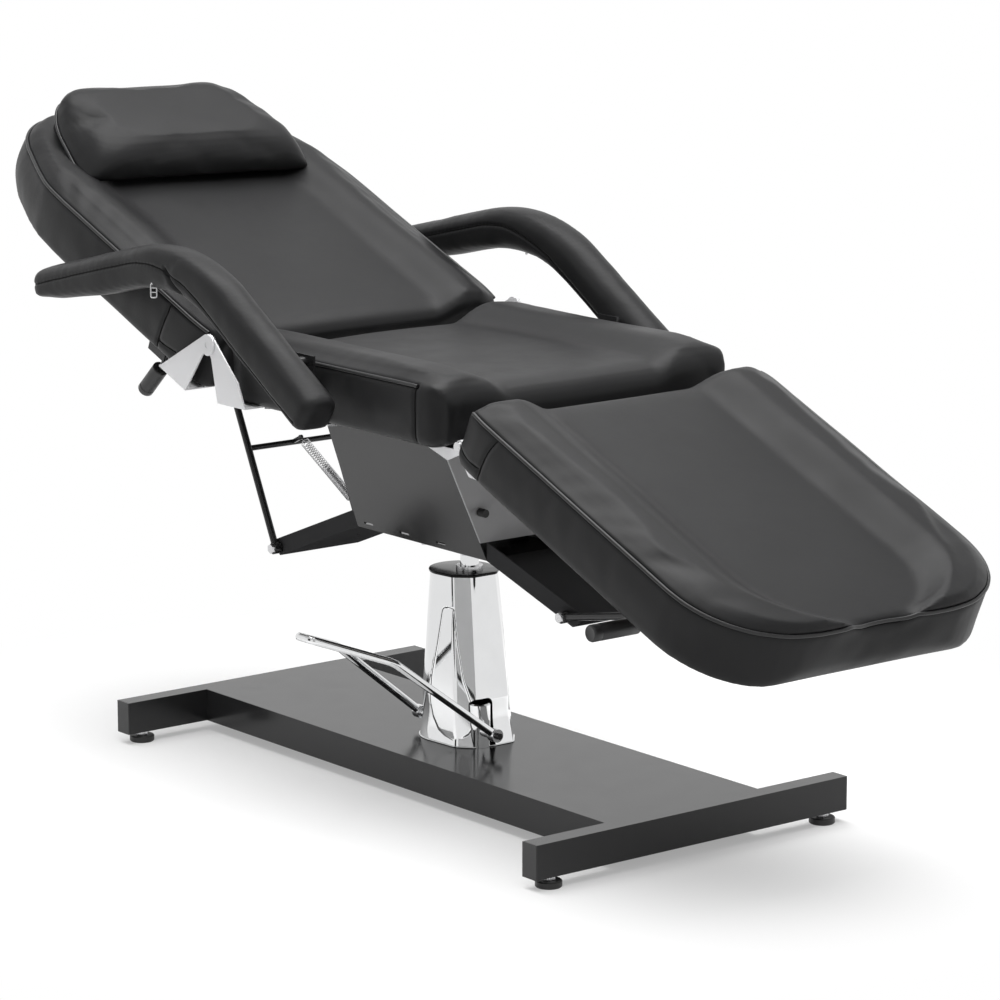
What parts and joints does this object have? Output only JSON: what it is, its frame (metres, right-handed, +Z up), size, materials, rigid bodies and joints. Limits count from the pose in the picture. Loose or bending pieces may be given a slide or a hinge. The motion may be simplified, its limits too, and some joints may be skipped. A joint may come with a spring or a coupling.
{
  "type": "tattoo chair",
  "caption": "Reclining tattoo chair with padded seat, back rest, leg rest, head pillow and curved armrests on a hydraulic pump with a foot pedal and a low steel base.",
  "frame": {"origin": "centre of the footprint on the floor, under the middle of the whole chair", "axes": "+Z up, +Y towards the head end, +X towards the side across from the near armrest in the picture"},
  "size_m": [0.7222, 1.8376, 0.9869],
  "materials": {
    "painted_black": "satin powder coat",
    "pale_steel": "satin",
    "chrome": "polished",
    "bright_steel": "zinc plated",
    "black_screws": "satin",
    "upholstery": "smooth coated fabric, low sheen",
    "plywood": "raw plywood",
    "rubber": "matte",
    "plastic": "matte",
    "foot_black": "matte"
  },
  "bodies": {
    "base": {"base_rail_front": "painted_black", "base_rail_rear": "painted_black", "rail_end_caps": "plastic", "base_plate": "painted_black", "foot_nuts": "bright_steel", "pump_cylinder": "painted_black", "pump_bolts": "bright_steel", "pump_shroud": "chrome", "shroud_lid": "painted_black", "ram_gland": "bright_steel"},
    "foot_front_left": {"level_foot_front_left": "foot_black"},
    "foot_front_right": {"level_foot_front_right": "foot_black"},
    "foot_rear_left": {"level_foot_rear_left": "foot_black"},
    "foot_rear_right": {"level_foot_rear_right": "foot_black"},
    "pedal": {"pedal_bar": "chrome", "pedal_shaft": "bright_steel", "pedal_screws": "black_screws"},
    "ram": {"lift_ram": "chrome"},
    "seat": {"mounting_plate": "painted_black", "mounting_bolts": "bright_steel", "frame_side_left": "painted_black", "frame_side_right": "painted_black", "frame_channel": "painted_black", "frame_arm_front": "painted_black", "frame_arm_rear": "painted_black", "frame_cross_plate": "pale_steel", "leg_buffer": "rubber", "arm_pivot_bolts": "bright_steel", "seat_board": "plywood", "seat_pad": "upholstery", "seat_bolts": "bright_steel", "seat_hinge_plates": "pale_steel", "hinge_bolts": "black_screws", "leg_hinge_seat_plates": "pale_steel", "leg_hinge_pins": "bright_steel", "armrest_pad_left": "upholstery", "armrest_pad_right": "upholstery", "armrest_frames": "painted_black", "back_spring": "bright_steel"},
    "back_rest": {"back_board": "plywood", "back_pad": "upholstery", "back_bolts": "bright_steel", "back_hinge_plates": "pale_steel", "back_racks": "painted_black", "back_lever_bracket": "painted_black"},
    "head_pillow": {"pillow": "upholstery"},
    "back_lever": {"back_lever_rod": "painted_black", "back_lever_grip": "rubber"},
    "leg_rest": {"leg_board": "plywood", "leg_pad": "upholstery", "leg_bolts": "bright_steel", "leg_hinge_plates": "pale_steel", "leg_racks": "painted_black", "leg_lever_brackets": "painted_black"},
    "leg_lever": {"leg_lever_rod": "painted_black", "leg_lever_grip": "rubber"},
    "back_prop_frame": {"back_prop": "painted_black"},
    "leg_prop_frame": {"leg_prop": "painted_black"},
    "zip_tab_left": {"zip_pull_left": "bright_steel"},
    "zip_tab_right": {"zip_pull_right": "bright_steel"}
  },
  "joints": [
    {"name": "foot_front_left_screw", "type": "slide", "parent": "base", "child": "foot_front_left", "axis": [0, 0, -1], "range_m": [0, 0.015]},
    {"name": "foot_front_right_screw", "type": "slide", "parent": "base", "child": "foot_front_right", "axis": [0, 0, -1], "range_m": [0, 0.015]},
    {"name": "foot_rear_left_screw", "type": "slide", "parent": "base", "child": "foot_rear_left", "axis": [0, 0, -1], "range_m": [0, 0.015]},
    {"name": "foot_rear_right_screw", "type": "slide", "parent": "base", "child": "foot_rear_right", "axis": [0, 0, -1], "range_m": [0, 0.015]},
    {"name": "pedal_swing", "type": "hinge", "parent": "base", "child": "pedal", "pos_m": [-0.024, -0.0214, 0.092], "axis": [0, -1, 0], "range_deg": [0, 22], "stiffness_Nm_per_rad": 6, "springref_deg": -28.65},
    {"name": "ram_lift", "type": "slide", "parent": "base", "child": "ram", "axis": [0, 0, 1], "range_m": [0, 0.16]},
    {"name": "seat_swivel", "type": "hinge", "parent": "ram", "child": "seat", "pos_m": [0, -0.0214, 0.37], "axis": [0, 0, 1], "continuous": true},
    {"name": "back_tilt", "type": "hinge", "parent": "seat", "child": "back_rest", "pos_m": [0, 0.2336, 0.658], "axis": [1, 0, 0], "range_deg": [-22, 48]},
    {"name": "leg_tilt", "type": "hinge", "parent": "seat", "child": "leg_rest", "pos_m": [0, -0.3134, 0.582], "axis": [1, 0, 0], "range_deg": [-23, 22]},
    {"name": "back_prop_swing", "type": "hinge", "parent": "seat", "child": "back_prop_frame", "pos_m": [0, 0.3566, 0.303], "axis": [1, 0, 0], "range_deg": [-13.2, 28.8], "deforming": ["back_spring"]},
    {"name": "leg_prop_swing", "type": "hinge", "parent": "seat", "child": "leg_prop_frame", "pos_m": [0, -0.3434, 0.322], "axis": [1, 0, 0], "range_deg": [-34.5, 33]},
    {"name": "pillow_lift", "type": "slide", "parent": "back_rest", "child": "head_pillow", "axis": [0, -0.3746, 0.9272], "range_m": [0, 0.06]},
    {"name": "back_lever_pull", "type": "hinge", "parent": "back_rest", "child": "back_lever", "pos_m": [-0.246, 0.40718, 0.61812], "axis": [1, 0, 0], "range_deg": [0, 18], "stiffness_Nm_per_rad": 1.2, "springref_deg": -17.19},
    {"name": "leg_lever_pull", "type": "hinge", "parent": "leg_rest", "child": "leg_lever", "pos_m": [-0.136, -0.61856, 0.42563], "axis": [-1, 0, 0], "range_deg": [0, 15], "stiffness_Nm_per_rad": 1.2, "springref_deg": -17.19},
    {"name": "zip_swing_left", "type": "hinge", "parent": "seat", "child": "zip_tab_left", "pos_m": [-0.352, 0.2806, 0.74734], "axis": [1, 0, 0], "range_deg": [-30, 30]},
    {"name": "zip_swing_right", "type": "hinge", "parent": "seat", "child": "zip_tab_right", "pos_m": [0.352, 0.2806, 0.74734], "axis": [1, 0, 0], "range_deg": [-30, 30]}
  ],
  "couplings": [
    {"joint": "back_prop_swing", "follows": "back_tilt", "ratio": 0.6},
    {"joint": "leg_prop_swing", "follows": "leg_tilt", "ratio": 1.5}
  ]
}
